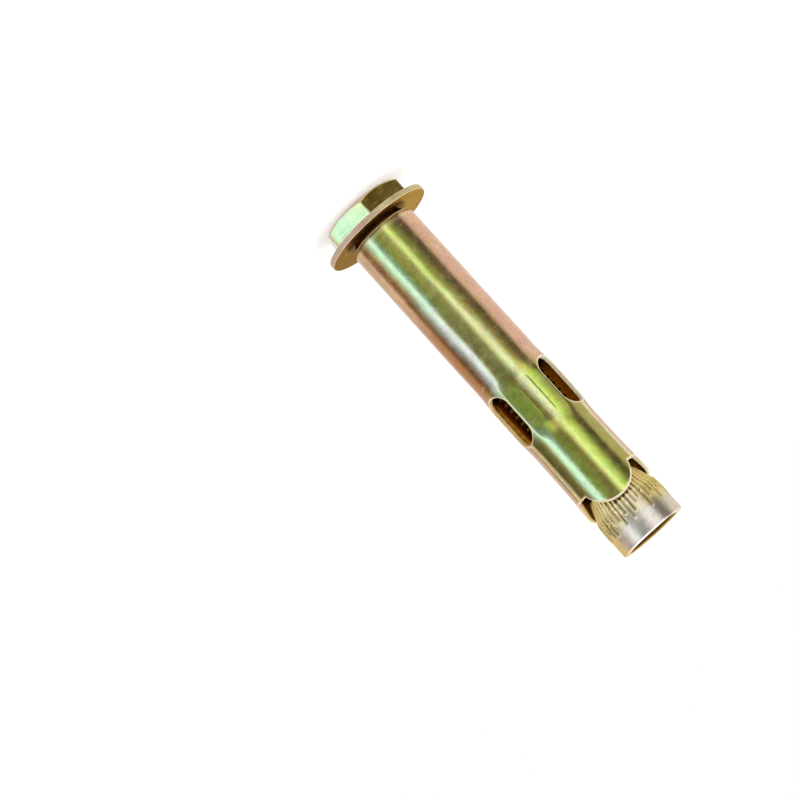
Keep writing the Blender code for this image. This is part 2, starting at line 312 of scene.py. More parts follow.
def make_bolt(finishes):
    """Hex bolt on one grid: angles round the axis against a profile of radius and height.

    The head's rim is where the chamfer cone meets the hexagon, so it falls towards the corners in six
    curves. Along the thread the radius follows the metric profile at height over pitch less angle.
    """
    angle, hexagon = hexagon_rays()
    flat = np.ones_like(angle)
    face = (HEAD_FACE_RADIUS * flat, 0 * flat)
    rim = (hexagon, (hexagon - HEAD_FACE_RADIUS) * math.tan(HEAD_CHAMFER))
    seat = (hexagon, HEAD_HEIGHT * flat)
    neck = ((SHANK_RADIUS + NECK_FILLET) * flat, HEAD_HEIGHT * flat)
    rows = [np.stack([0 * flat, 0 * flat])]
    rows += between((0 * flat, 0 * flat), face, 5)
    rows += bend((0 * flat, 0 * flat), face, rim, FACE_EDGE_ROUND, 5)
    rows += bend(face, rim, seat, RIM_EDGE_ROUND, 5)
    rim_row = len(rows) - 4
    rows += between(rows[-1], (hexagon, (HEAD_HEIGHT - SEAT_EDGE_ROUND) * flat), 10)
    rows += bend(rim, seat, neck, SEAT_EDGE_ROUND, 4)
    rows += between(rows[-1], neck, 4)
    head_rows = len(rows) - 1
    for step in np.linspace(0.0, math.pi / 2, 7):
        rows.append(np.stack([(SHANK_RADIUS + NECK_FILLET * (1 - math.sin(step))) * flat,
                              (HEAD_HEIGHT + NECK_FILLET * (1 - math.cos(step))) * flat]))
    thread_start = BOLT_END - THREAD_LENGTH
    plain_end = thread_start - THREAD_RUNOUT - 0.2
    for height in np.linspace(HEAD_HEIGHT + NECK_FILLET, plain_end, 40)[1:]:
        rows.append(np.stack([SHANK_RADIUS * flat, height * flat]))
    heights = np.arange(plain_end + 0.15, BOLT_END - 0.01, THREAD_PITCH / 13)
    cut = thread_radius(heights[:, None] / THREAD_PITCH - angle[None, :] / TURN, THREAD_ROOT, THREAD_CREST)
    depth = smooth((heights - thread_start + THREAD_RUNOUT) / (1.5 * THREAD_RUNOUT))[:, None]
    radius = SHANK_RADIUS + (cut - SHANK_RADIUS) * depth
    radius = np.minimum(radius, THREAD_CREST - END_CHAMFER + (BOLT_END - heights)[:, None] * 1.1)
    rows += [np.stack([reach, height * flat]) for reach, height in zip(radius, heights)]
    tip = THREAD_CREST - END_CHAMFER - 0.1
    rows += [np.stack([tip * share * flat, BOLT_END * flat]) for share in (1.0, 0.7, 0.35, 0.0)]
    profile = np.stack(rows)
    grid = around(profile[:, 0], angle[None, :], profile[:, 1])
    columns = len(angle)
    part = np.zeros((len(rows) - 3, columns))
    part[rim_row:head_rows] = 1
    part[head_rows:] = 2
    part = np.concatenate([np.zeros(columns), part.ravel(), np.full(columns, 2)])
    return turned_solid("bolt_skin", grid, finishes, finish_of_face=part, crease=33.0)


def make_washer(finishes):
    """Stamped washer: a closed profile of straight faces and rounded rims, carried round the axis.

    The nut-side face dips towards the hole where the punch drew it in, and waves by a few hundredths of a
    millimetre.
    """
    angle = np.linspace(0.0, TURN, 160, endpoint=False)
    flat = np.ones_like(angle)
    top, foot = WASHER_TOP, WASHER_FOOT
    corners = [
        (WASHER_HOLE, foot), (WASHER_RADIUS, foot), (WASHER_RADIUS, top), (PUNCH_DIP_RADIUS, top),
        (WASHER_HOLE, top - PUNCH_DIP),
    ]
    cuts = [0.12, 0.2, 0.24, 1.0, 0.2]
    corners = [(radius * flat, height * flat) for radius, height in corners]
    bends = [bend(corners[number - 1], corner, corners[(number + 1) % len(corners)], cuts[number], 6)
             for number, corner in enumerate(corners)]
    rows = []
    for number, bent in enumerate(bends):
        rows += bent + between(bent[-1], bends[(number + 1) % len(bends)][0], 7)
    profile = np.stack(rows)
    radius, height = profile[:, 0], profile[:, 1]
    wave = ripple(radius * np.cos(angle), radius * np.sin(angle), 6, 16.0, 6.0, 3)
    height = height - WASHER_WAVE * (1.0 + np.clip(wave, -1.0, 1.0)) * smooth((height - foot - 0.6) / 0.6)
    grid = around(radius, angle[None, :], height)
    faces = ring_faces(len(rows), len(angle), closed=True)
    middle = (profile[:, 0, :1] + np.roll(profile[:, 0, :1], -1, axis=0)) / 2
    part = np.broadcast_to(middle > WASHER_RADIUS - 0.14, (len(rows), len(angle)))
    return skin("washer_skin", grid, faces.tolist(), finishes, part.ravel(), crease=35.0)


def tail_roll(side):
    """Radius of the tail's worn edge: full on the petal's round end, eased to EDGE_ROLL at its root."""
    return EDGE_ROLL + (TAIL_ROLL - EDGE_ROLL) * smooth((PETAL_ROUND - 0.6 - side) / ROLL_EASE)


def panel_columns():
    """Offsets across one sleeve panel from slit to slit, dense where the outline or the rib bends."""
    edge = WINDOW_HALF + EDGE_ROLL
    corner = WINDOW_CORNER + EDGE_ROLL
    middle = PANEL / 2
    root_fall = PETAL_ROUND - NOTCH_DEPTH - EDGE_ROLL
    root = middle - math.sqrt((PETAL_ROUND - EDGE_ROLL)**2 - root_fall**2)
    first = SLIT_HALF + EDGE_ROLL
    bends = [first, root - NOTCH_EASE, root + NOTCH_EASE]
    begin, turn, leave = [math.asin(max(bend_at - edge + corner, 0.0) / corner) for bend_at in bends]
    half = [np.array([first])]
    half.append(edge - corner + corner * np.sin(np.linspace(begin, turn, 6))[1:])
    half.append(np.linspace(root - NOTCH_EASE, root + NOTCH_EASE, 13)[1:])
    half.append(edge - corner + corner * np.sin(np.linspace(leave, math.pi / 2, 9))[1:])
    rib = middle - RIB_WIDTH / 2 - RIB_ASIDE - 0.1
    half.append(np.linspace(edge, rib, 11)[1:])
    half.append(np.linspace(rib, middle, 23)[1:])
    half = np.concatenate(half)
    return np.concatenate([half, PANEL - half[-2::-1]])


def sheet_rows(offset):
    """Heights of the sheet's rows at an offset in a panel, and the two rows that a window lies between."""
    offset = np.minimum(offset, PANEL - offset)
    edge = WINDOW_HALF + EDGE_ROLL
    corner = WINDOW_CORNER + EDGE_ROLL
    into = np.clip(offset - (edge - corner), 0.0, corner)
    inset = corner - np.sqrt(corner**2 - into**2)
    beyond = smooth((offset - edge) / (PANEL / 2 - edge))
    inset = inset * (1.0 - beyond) + (EDGE_ROLL + WINDOW_BOW) * beyond
    bottom = WINDOW_START - EDGE_ROLL + inset
    top = WINDOW_END + EDGE_ROLL - inset
    low, high = WINDOW_START - BEND_BAND, WINDOW_END + BEND_BAND
    side = np.abs(offset - PANEL / 2)
    petal = PETAL_ROUND - tail_roll(side)
    crown = SLEEVE_LENGTH - PETAL_ROUND + np.sqrt(np.maximum(petal**2 - side**2, 0.0))
    floor = SLEEVE_LENGTH - NOTCH_DEPTH - EDGE_ROLL
    tail = (crown + floor + np.hypot(crown - floor, NOTCH_EASE)) / 2
    root = SLEEVE_LENGTH - NOTCH_DEPTH - BEND_BAND
    middle = (1.0 - np.cos(np.linspace(0.0, math.pi, 39))) / 2
    still = np.ones_like(offset)
    rows = [height * still for height in np.linspace(EDGE_ROLL, low, 26)]
    rows += [low + (bottom - low) * share for share in np.linspace(0.0, 1.0, 14)[1:]]
    rows += [bottom + (top - bottom) * share for share in middle[1:]]
    rows += [top + (high - top) * share for share in np.linspace(0.0, 1.0, 14)[1:]]
    rows += [height * still for height in np.linspace(high, root, 17)[1:]]
    rows += [root + (tail - root) * share for share in np.linspace(0.0, 1.0, 13)[1:]]
    return np.stack(rows), 25 + 13, 25 + 13 + 38


def from_cut(offset, height):
    """Distance in mm from a point of the flat sheet to its nearest cut: the least of those to the slit's
    line, the window's rounded rectangle, the tail's circle and notch, and the foot.
    """
    across = np.mod(offset, PANEL)
    across = np.minimum(across, PANEL - across)
    middle = (WINDOW_START + WINDOW_END) / 2
    slit = np.hypot(across - SLIT_HALF, np.minimum(height - WINDOW_END, 0.0))
    wide = across - WINDOW_HALF + WINDOW_CORNER
    tall = np.abs(height - middle) - (WINDOW_END - WINDOW_START) / 2 + WINDOW_CORNER
    window = np.hypot(np.maximum(wide, 0.0), np.maximum(tall, 0.0)) - WINDOW_CORNER
    window = window + np.minimum(np.maximum(wide, tall), 0.0)
    beyond = np.maximum(height - SLEEVE_LENGTH + PETAL_ROUND, 0.0)
    circle = PETAL_ROUND - np.hypot(PANEL / 2 - across, beyond)
    tail = np.maximum(circle, SLEEVE_LENGTH - NOTCH_DEPTH - height)
    return np.minimum.reduce([slit, window, tail, height])


def roll_sheet(offset, height, depth):
    """Roll the flat sheet: angle is offset over radius; the radius adds the crowned rib, the petals' flare,
    the flatter panel between two windows and a faint waviness, less the depth under the outer surface.
    """
    across = np.mod(offset, PANEL) - PANEL / 2
    side = np.abs(across)
    middle = (WINDOW_START + WINDOW_END) / 2
    reach = (RIB_LENGTH - RIB_WIDTH) / 2
    spine = np.clip(height, middle - reach, middle + reach)
    off_spine = np.hypot(across + RIB_ASIDE, height - spine)
    rib = RIB_RISE * smooth((RIB_WIDTH / 2 - off_spine) / RIB_FLANK)
    rib = rib + RIB_CROWN * np.maximum(1.0 - (2.0 * off_spine / RIB_WIDTH) ** 2, 0.0)
    rib = rib * smooth((RIB_LENGTH / 2 - np.abs(height - middle)) / RIB_FADE)
    flare = FLARE_RISE * np.clip((height - SLEEVE_LENGTH + FLARE_LENGTH) / FLARE_LENGTH, 0.0, 1.1) ** 2
    held = smooth((height - WINDOW_START + PANEL_FADE_OUTSIDE) / PANEL_FADE)
    held = held * smooth((WINDOW_END + PANEL_FADE_OUTSIDE - height) / PANEL_FADE)
    flatter = held * (PANEL_FLATTENED * np.minimum(side / PANEL_FLAT_REACH, 1.0) ** 2 - PANEL_SUNK)
    wavy = SHEET_WAVE * ripple(offset, height * 0.35, 7, 17.0, 5.0, 8)
    radius = SLEEVE_RADIUS + rib + flare + flatter + wavy - depth
    return around(radius, SEAM_AT + offset / SLEEVE_RADIUS, height + SLEEVE_FOOT)


def punched_sheet():
    """The sheet as a grid with its windows and slits left out: its points in the flat as (offset, height),
    its outer quads, and which of its points lie in the tail's row.
    """
    columns = panel_columns()
    heights, window_low, window_high = sheet_rows(columns)
    offset = (columns[None, :] + PANEL * np.arange(PETALS)[:, None]).ravel()
    height = np.tile(heights, (1, PETALS))
    rows, count = height.shape
    spread = np.broadcast_to(offset, height.shape)

    column = np.arange(count - 1)
    local = np.mod(column, len(columns))
    from_slit = np.minimum(columns, PANEL - columns)
    nearest = np.minimum(from_slit[local], from_slit[(local + 1) % len(columns)])
    crossing = local == len(columns) - 1
    beside_window = crossing | (nearest < WINDOW_HALF + EDGE_ROLL - 1e-6)
    row = np.arange(rows - 1)[:, None]
    open_window = (row >= window_low) & (row < window_high) & beside_window[None, :]
    open_slit = (row >= window_low) & crossing[None, :]
    kept = ~(open_window | open_slit)
    start = (row * count + column[None, :])[kept]
    quads = np.stack([start, start + 1, start + count + 1, start + count], axis=-1)

    used, quads = np.unique(quads, return_inverse=True)
    flat = np.stack([spread.ravel()[used], height.ravel()[used]], axis=-1)
    return flat, quads.reshape(-1, 4), used >= (rows - 1) * count


def cut_edges(flat, quads):
    """Edges that only one quad uses, as their first and second points, and for the points on them their
    numbers, the place of each number in that list, and the direction out of the sheet.
    """
    total = len(flat)
    begins, ends = quads.ravel(), np.roll(quads, -1, axis=1).ravel()
    loose = ~np.isin(begins * total + ends, ends * total + begins)
    edge_a, edge_b = begins[loose], ends[loose]
    rim_points, place = np.unique(edge_a), np.full(total, -1)
    place[rim_points] = np.arange(len(rim_points))
    ahead, behind = np.zeros(total, int), np.zeros(total, int)
    ahead[edge_a], behind[edge_b] = edge_b, edge_a
    run = flat[ahead[rim_points]] - flat[behind[rim_points]]
    outward = np.stack([run[:, 1], -run[:, 0]], axis=-1)
    outward /= np.maximum(np.linalg.norm(outward, axis=1, keepdims=True), 1e-9)
    return edge_a, edge_b, rim_points, place, outward


def make_sleeve(finishes):
    """Sleeve rolled from punched sheet: the flat grid gives the outer and inner skins, and a rim profile
    carried along every cut edge joins them.

    The rim leaves the outer skin in a quarter round, runs down the sheared face and turns in at the
    inner skin; it is placed by each edge point's direction out of the flat sheet.
    """
    flat, outer, on_tail = punched_sheet()
    edge_a, edge_b, rim_points, place, outward = cut_edges(flat, outer)
    total = len(flat)

    bow = np.linspace(0.0, math.pi / 2, 6)[1:, None]
    side = np.abs(np.mod(flat[rim_points, 0], PANEL) - PANEL / 2)
    rolled = np.where(on_tail[rim_points], tail_roll(side), EDGE_ROLL)[None, :]
    sheared = np.array([0.12, 0.5, 0.85, 0.985])[:, None]
    worn = np.array([-0.005, -0.03, -0.05, -0.09])[:, None]
    reach = np.concatenate([rolled * np.sin(bow), rolled + worn])
    depth = np.concatenate([rolled * (1 - np.cos(bow)), rolled + (SHEET - rolled) * sheared])
    ring = flat[rim_points][None] + outward[None] * reach[..., None]
    rim_skin = roll_sheet(ring[..., 0], ring[..., 1], depth)
    outer_skin = roll_sheet(flat[:, 0], flat[:, 1], 0.0)
    inner_skin = roll_sheet(flat[:, 0], flat[:, 1], SHEET)
    points = np.concatenate([outer_skin, inner_skin, rim_skin.reshape(-1, 3)])

    bases = [2 * total + number * len(rim_points) for number in range(len(reach))]
    side_a = [edge_a] + [base + place[edge_a] for base in bases] + [edge_a + total]
    side_b = [edge_b] + [base + place[edge_b] for base in bases] + [edge_b + total]
    rims = [np.stack([b, a, a_next, b_next], axis=-1)
            for a, b, a_next, b_next in zip(side_a, side_b, side_a[1:], side_b[1:])]
    rims = np.concatenate(rims)
    inner = outer[:, ::-1] + total
    faces = np.concatenate([outer, inner, rims])
    part = np.concatenate([np.zeros(len(outer)), np.ones(len(inner)), np.full(len(rims), 2)])
    # Paler tint near the cut edges and on the rims: partly plating, partly painted highlight.
    plated_edge_and_highlight = np.zeros(len(points))
    plated_edge_and_highlight[:total] = 1.0 - smooth((from_cut(flat[:, 0], flat[:, 1]) - 0.1) / PLATED_AND_HIGHLIGHT_REACH)
    plated_edge_and_highlight[2 * total:] = 1.0
    return skin("sleeve_skin", points, faces.tolist(), finishes, part, 50.0, {"plated_edge_and_highlight": plated_edge_and_highlight})


def nut_profile():
    """Rows of the cone nut from its small end out and to the bore's mouth: height, radius, groove share.

    Under the petals the radius is the cone's; past them a cubic ease lifts it on to the knurled body,
    whose radius grows from the shoulder to the collar, with a parabola's swell where the knurl raised it.
    """
    cone_end = (CONE_LARGE - CONE_SMALL) / math.tan(CONE_ANGLE)
    shoulder = cone_end + SHOULDER_LENGTH
    collar = NUT_LENGTH - COLLAR_LENGTH
    height = np.linspace(0.2, collar + 1.4, 72)
    cone = CONE_SMALL + height * math.tan(CONE_ANGLE)
    along = np.minimum((height - shoulder) / (collar - shoulder), 1.0)
    body = SHOULDER_RADIUS + (NUT_RADIUS - SHOULDER_RADIUS) * along
    body = body + KNURL_SWELL * 4.0 * np.maximum(along, 0.0) * (1.0 - along)
    past = smooth((height - cone_end + SHOULDER_EASE) / (SHOULDER_LENGTH + 2.0 * SHOULDER_EASE))
    radius = cone + (body - cone) * past
    rows = [(0.0, CONE_SMALL - 0.12, 0.0), (0.0, CONE_SMALL - 0.06, 0.05), (0.07, CONE_SMALL, 0.1)]
    rows += zip(height, radius, np.minimum(2.0 * height / cone_end, 1.0))
    for height in np.linspace(collar + 1.6, NUT_LENGTH - NUT_EDGE_ROUND - 0.1, 8):
        rows.append((height, NUT_RADIUS, 0.0))
    for step in np.linspace(0.0, math.pi / 2, 6)[1:]:
        height = NUT_LENGTH - NUT_EDGE_ROUND * (1 - math.sin(step))
        rows.append((height, NUT_RADIUS - NUT_EDGE_ROUND * (1 - math.cos(step)), 0.0))
    for radius in np.linspace(NUT_RADIUS - 0.5, BORE_MOUTH + 0.05, 5):
        rows.append((NUT_LENGTH, radius, 0.0))
    for share in (0.0, 0.25, 0.5, 0.75, 1.0):
        rows.append((NUT_LENGTH - 0.04 - BORE_CHAMFER * share, BORE_MOUTH - BORE_CHAMFER * share, 0.0))
    return rows


def make_nut(finishes):
    """Cone nut: angles round the axis against a profile, with ribs left standing between pressed grooves.

    A groove's cross-section eases from crest to root over a good quarter of the rib pitch. Each groove has
    its own width, depth and end, some ribs are nicked, and the bore carries the thread's helix.
    """
    per_rib = 10
    columns = NUT_RIBS * per_rib
    angle = np.arange(columns) * TURN / columns
    rows = np.array(nut_profile())
    height, crest, share = rows[:, :1], rows[:, 1:2], rows[:, 2:3]
    groove = angle[None, :] / TURN * NUT_RIBS + GROOVE_DRIFT * np.sin(3.0 * angle)[None, :]
    lean = RANDOM.uniform(-GROOVE_LEAN, GROOVE_LEAN, NUT_RIBS + 1)
    wide = RANDOM.uniform(*GROOVE_WIDTHS, NUT_RIBS)
    number = np.floor(groove).astype(int) % NUT_RIBS
    within = groove - np.floor(groove) - 0.5 + lean[number] * smooth((height - 5.0) / 3.5)
    hollow = smooth((wide[number] - np.abs(within)) / GROOVE_FLANK)
    collar = NUT_LENGTH - COLLAR_LENGTH
    ends = collar + RANDOM.uniform(*GROOVE_ENDS, NUT_RIBS)
    run_out = 1.0 - smooth((height - ends[number] + 0.55) / 0.7)
    deep = RIB_DEPTH * RANDOM.uniform(*GROOVE_DEPTHS, NUT_RIBS)[number]
    pressed = deep * share * hollow * run_out
    nick_at = RANDOM.uniform(*NICK_HEIGHTS, NUT_RIBS)
    nicked = RANDOM.uniform(0, 1, NUT_RIBS) < NICKED_RIBS
    nick_size = np.where(nicked, RANDOM.uniform(*NICK_SIZES, NUT_RIBS), 0.0)
    rib = np.floor(groove + 0.5).astype(int) % NUT_RIBS
    nick = nick_size[rib] * np.exp(-(((height - nick_at[rib]) / NICK_LENGTH) ** 2)) * (1.0 - hollow)
    marks = (share > 0.0) * (height < collar + 1.5)
    radius = crest - pressed - nick * marks
    radius = radius + 0.006 * ripple(angle[None, :] * NUT_RADIUS, height, 6, 6.0, 1.5, 31) * (share > 0.9)
    outside = around(radius, angle[None, :], height + NUT_FOOT)

    mouth = NUT_LENGTH - BORE_ROWS_START
    heights = np.arange(mouth, mouth - BORE_ROWS_LENGTH, -THREAD_PITCH / 12)[:, None]
    phase = (heights + NUT_FOOT) / THREAD_PITCH - angle[None, :] / TURN + 0.5
    tooth = thread_radius(phase, BORE_CREST, BORE_PLAIN)
    tooth = BORE_PLAIN + (tooth - BORE_PLAIN) * smooth((heights - mouth + 2.7) / 0.6)
    tooth = np.clip(tooth, BORE_MOUTH - 0.45 - 1.1 * (mouth - heights), BORE_PLAIN)
    bore = around(tooth, angle[None, :], heights + NUT_FOOT)
    plain = np.linspace(mouth - BORE_ROWS_LENGTH - 0.1, 0.12, 10)[:, None]
    inside = around(np.full_like(plain, BORE_PLAIN - 0.02), angle[None, :], plain + NUT_FOOT)
    grid = np.concatenate([outside, bore, inside])
    faces = ring_faces(len(grid), columns, closed=True)
    part = np.zeros((len(grid), columns))
    part[len(outside) - 5:] = 1
    # Groove share, carried for a darker gold in the grooves: partly film, partly painted shade.
    hollowed = np.zeros(grid.shape[:2])
    hollowed[:len(outside)] = pressed / RIB_DEPTH
    return skin("nut_skin", grid, faces.tolist(), finishes, part.ravel(), 60.0, {"groove": hollowed})


def colour(hex_value):
    """Linear colour from an sRGB hex value."""
    shares = [int(hex_value[k:k + 2], 16) / 255.0 for k in (0, 2, 4)]
    return tuple([s / 12.92 if s <= 0.04045 else ((s + 0.055) / 1.055) ** 2.4 for s in shares] + [1.0])


def add(tree, kind, links=None, **settings):
    """Add one node with settings as its properties; links map an input to a socket or to a value."""
    node = tree.nodes.new(kind)
    for key, value in settings.items():
        setattr(node, key, value)
    for key, value in (links or {}).items():
        if isinstance(value, bpy.types.NodeSocket):
            tree.links.new(value, node.inputs[key])
        else:
            node.inputs[key].default_value = value
    return node


def calculated(tree, operation, *values):
    """Result of one math node."""
    return add(tree, "ShaderNodeMath", dict(enumerate(values)), operation=operation).outputs[0]


def ranged(tree, value, start, end, low=0.0, high=1.0, **settings):
    """Result that goes from low to high as the value goes from start to end."""
    links = {"Value": value, "From Min": start, "From Max": end, "To Min": low, "To Max": high}
    return add(tree, "ShaderNodeMapRange", links, **settings).outputs[0]


def mixed(tree, share, first, second):
    """Colour that goes from the first to the second as the share goes from 0 to 1."""
    return add(tree, "ShaderNodeMix", {0: share, 6: first, 7: second}, data_type='RGBA').outputs[2]


def noise(tree, place, size, detail, roughness=0.5):
    """Noise node whose largest lumps have a size in mm."""
    links = {"Vector": place, "Scale": 1.0 / (size * MM), "Detail": detail, "Roughness": roughness}
    return add(tree, "ShaderNodeTexNoise", links)


def angle_and_rise(tree, place):
    """Angle from -Y towards +X of a place or a ray, its Y turned round, and its Z."""
    split = add(tree, "ShaderNodeSeparateXYZ", {0: place})
    toward = calculated(tree, 'MULTIPLY', split.outputs["Y"], -1.0)
    angle = calculated(tree, 'ARCTAN2', split.outputs["X"], toward)
    return angle, toward, split.outputs["Z"]


def ramp(tree, value, stops):
    """Colour that a value takes on a ramp of (position, linear colour) stops."""
    node = add(tree, "ShaderNodeValToRGB", {0: value})
    elements = node.color_ramp.elements
    while len(elements) > 1:
        elements.remove(elements[-1])
    elements[0].position, elements[0].color = stops[0]
    for position, value in stops[1:]:
        elements.new(position).color = value
    return node.outputs["Color"]


def turn_ramp(tree, turned, stops):
    """Colour on a ramp round the axis: stops are (degrees from -180 to 180, linear colour)."""
    return ramp(tree, turned, [((degrees + 180.0) / 360.0, value) for degrees, value in stops])


def banded_tint(tree, place, angle, height, stations):
    """Colour of the film, with painted reflection and shade in some finishes: bands round the axis, eased
    from one station to the next up the axis.

    Its thickness wanders slowly, so the bands do too: over 6 mm across and about 20 mm along.
    """
    long_way = add(tree, "ShaderNodeMapping", {"Vector": place, "Scale": (1.0, 1.0, 0.3)}).outputs[0]
    broad = noise(tree, long_way, BAND_WANDER_SIZE, 4.0, 0.6).outputs["Fac"]
    wander = ranged(tree, broad, *NOISE_REACH, -BAND_WANDER, BAND_WANDER, clamp=False)
    turned = ranged(tree, calculated(tree, 'ADD', angle, wander), -math.pi, math.pi)
    tint = None
    for begins, full, bands in stations:
        film = turn_ramp(tree, turned, [(degrees, colour(value)) for degrees, value in bands])
        if tint is None:
            tint = film
            continue
        share = ranged(tree, height, begins * MM, full * MM, interpolation_type='SMOOTHSTEP')
        tint = mixed(tree, share, tint, film)
    return tint


def hairlines(tree, unrolled, scratches):
    """Share of a hairline: noise drawn out along each heading of the unrolled surface, its peaks kept."""
    hair = None
    for number, (heading, share) in enumerate(scratches):
        turned = add(tree, "ShaderNodeMapping", {
            "Vector": unrolled, "Rotation": (0.0, 0.0, math.radians(heading)),
            "Location": (0.0, 0.0, 0.01 * number)}).outputs[0]
        drawn_out = add(tree, "ShaderNodeMapping", {"Vector": turned, "Scale": (1.0, HAIR_SQUEEZE, 1.0)})
        streak = noise(tree, drawn_out.outputs[0], HAIR_WIDTH, 1.0).outputs["Fac"]
        peak = ranged(tree, streak, 0.70 - 0.1 * share, 0.78 - 0.1 * share)
        hair = peak if hair is None else calculated(tree, 'MAXIMUM', hair, peak)
    return hair


def zinc(name, stations, roughness, haze, grain, specks, scratches, mottle=0.1, edge="FFFFFF", marks=None,
         metal=1.0):
    """Yellow passivated zinc: a metal whose film takes other colours in bands round the axis; in some
    finishes the bands also hold painted reflection and painted shade.

    stations are (height where its bands begin, height where they are full, [(degrees from -Y, hex)]).
    grain is (stretch, size, tone, relief) of the lines left by the tool, specks is (size, share, hex) of
    dull spots, scratches are (heading in degrees, share) of hairlines; sizes and reliefs in mm. mottle is
    how far the tint strays from spot to spot, and edge is the film's tint at a glancing view. marks is
    (attribute, hex, strength) of a tint that the mesh carries. metal is less than one where the face is
    torn and so partly dull.
    """
    material = bpy.data.materials.new(name)
    material.use_nodes = True
    tree = material.node_tree
    shader = tree.nodes["Principled BSDF"]
    shader.inputs["Metallic"].default_value = metal
    shader.inputs["Specular Tint"].default_value = colour(edge)
    place = add(tree, "ShaderNodeTexCoord").outputs["Object"]
    angle, _, height = angle_and_rise(tree, place)
    tint = banded_tint(tree, place, angle, height, stations)

    # Clouds, as the bath leaves them, in tone and in gloss, and the tool's lines in tone and in relief.
    cloud = noise(tree, place, CLOUD_SIZE, 6.0, 0.65).outputs["Fac"]
    tone = ranged(tree, cloud, *NOISE_REACH, *CLOUD_TONES)
    stretch, grain_size, grain_tone, grain_relief = grain
    drawn = add(tree, "ShaderNodeMapping", {"Vector": place, "Scale": stretch}).outputs[0]
    line = noise(tree, drawn, grain_size, 4.0, 0.7).outputs["Fac"]
    line_tone = ranged(tree, line, 0.35, 0.65, 1.0 - grain_tone, 1.0 + grain_tone * 0.5)
    both = calculated(tree, 'MULTIPLY', tone, line_tone)
    tint = add(tree, "ShaderNodeVectorMath", {0: tint, "Scale": both}, operation='SCALE').outputs[0]
    patch = noise(tree, place, PATCH_SIZE, 5.0, 0.7).outputs["Color"]
    links = {0: patch, 1: (5.0 * mottle,) * 3, 2: (1.0 - 2.5 * mottle,) * 3}
    stray = add(tree, "ShaderNodeVectorMath", links, operation='MULTIPLY_ADD').outputs[0]
    tint = add(tree, "ShaderNodeVectorMath", {0: tint, 1: stray}, operation='MULTIPLY').outputs[0]
    speck_size, speck_share, speck_hex = specks
    speck = noise(tree, place, speck_size, 2.0, 0.6).outputs["Fac"]
    spots = ranged(tree, speck, *SPECK_REACH, 0.0, speck_share)
    tint = mixed(tree, spots, tint, colour(speck_hex))

    relief = calculated(tree, 'MULTIPLY', line, grain_relief / BUMP_UNIT)
    gloss = cloud
    if scratches:
        arc = calculated(tree, 'MULTIPLY', angle, SLEEVE_RADIUS * MM)
        unrolled = add(tree, "ShaderNodeCombineXYZ", {0: arc, 1: height}).outputs[0]
        hair = hairlines(tree, unrolled, scratches)
        tint = mixed(tree, calculated(tree, 'MULTIPLY', hair, HAIR_SHARE), tint, colour(HAIR_TINT))
        relief = calculated(tree, 'MULTIPLY_ADD', hair, HAIR_BUMP, relief)
        gloss = calculated(tree, 'MULTIPLY_ADD', hair, HAIR_DULLS, gloss)
    if marks is not None:
        mark, mark_hex, strength = marks
        carried = add(tree, "ShaderNodeAttribute", attribute_name=mark).outputs["Fac"]
        share = calculated(tree, 'MULTIPLY', carried, strength)
        tint = mixed(tree, share, tint, colour(mark_hex))
    tree.links.new(tint, shader.inputs["Base Color"])
    rough = ranged(tree, gloss, *NOISE_REACH, roughness - haze, roughness + haze)
    tree.links.new(rough, shader.inputs["Roughness"])
    relief = calculated(tree, 'MULTIPLY_ADD', cloud, CLOUD_BUMP, relief)
    bump = add(tree, "ShaderNodeBump", {"Height": relief, "Strength": 1.0, "Distance": BUMP_UNIT * MM})
    tree.links.new(bump.outputs[0], shader.inputs["Normal"])
    return material


# Colours of the sleeve's bands, with their names: film colours whose tones also serve as painted
# reflection.
FILM_AND_REFLECTION = {
    "straw": "C8C878", "salmon": "DDB092", "tan": "C4A074", "amber": "CE9850", "copper": "B47E4C",
    "moss": "766C32", "olive": "B0A65C", "ochre": "C0B45E", "leaf": "9FA84C", "lime": "CCE468",
    "lemon": "DEEE90", "cream": "E6EAB0", "gold": "EAE478", "mint": "D2F6CC", "silver": "E2E8E0",
}

# The film changes about four times in a turn, and from place to place along the sleeve: (degrees, film).
# The lighter and darker bands in front are also painted reflection of the softboxes and the dim room.
BEHIND_LEFT = [(-180, "straw"), (-150, "tan"), (-120, "lemon"), (-90, "salmon")]
BEHIND_RIGHT = [(90, "salmon"), (120, "lemon"), (150, "amber"), (180, "straw")]
AT_THE_WASHER = [(-50, "salmon"), (-36, "tan"), (-17, "leaf"), (-9, "lemon"), (5, "gold"), (13, "lime"),
                 (21, "mint"), (28, "mint"), (43, "amber"), (54, "salmon"), (66, "tan")]
ALONG_THE_MIDDLE = [(-50, "salmon"), (-39, "tan"), (-20, "ochre"), (-12, "cream"), (4, "straw"),
                    (16, "straw"), (23, "silver"), (31, "silver"), (45, "copper"), (68, "copper")]
BETWEEN_WINDOWS = [(-60, "tan"), (-46, "olive"), (-33, "leaf"), (-24, "lime"), (-14, "cream"),
                   (-5, "cream"), (-2, "ochre"), (3, "ochre"), (6, "lime"), (25, "lime"), (31, "mint"),
                   (38, "mint"), (46, "olive"), (60, "tan")]
ON_THE_PETALS = [(-63, "tan"), (-56, "olive"), (-34, "olive"), (-20, "lime"), (-10, "lemon"), (0, "ochre"),
                 (15, "lime"), (21, "mint"), (29, "mint"), (37, "olive"), (50, "moss"), (60, "moss"),
                 (66, "tan")]


def sleeve_film_and_reflection(front):
    """Bands of the sleeve's film and painted reflection at one place along it: those in front, between
    those that lie behind.
    """
    return [(degrees, FILM_AND_REFLECTION[film]) for degrees, film in BEHIND_LEFT + front + BEHIND_RIGHT]


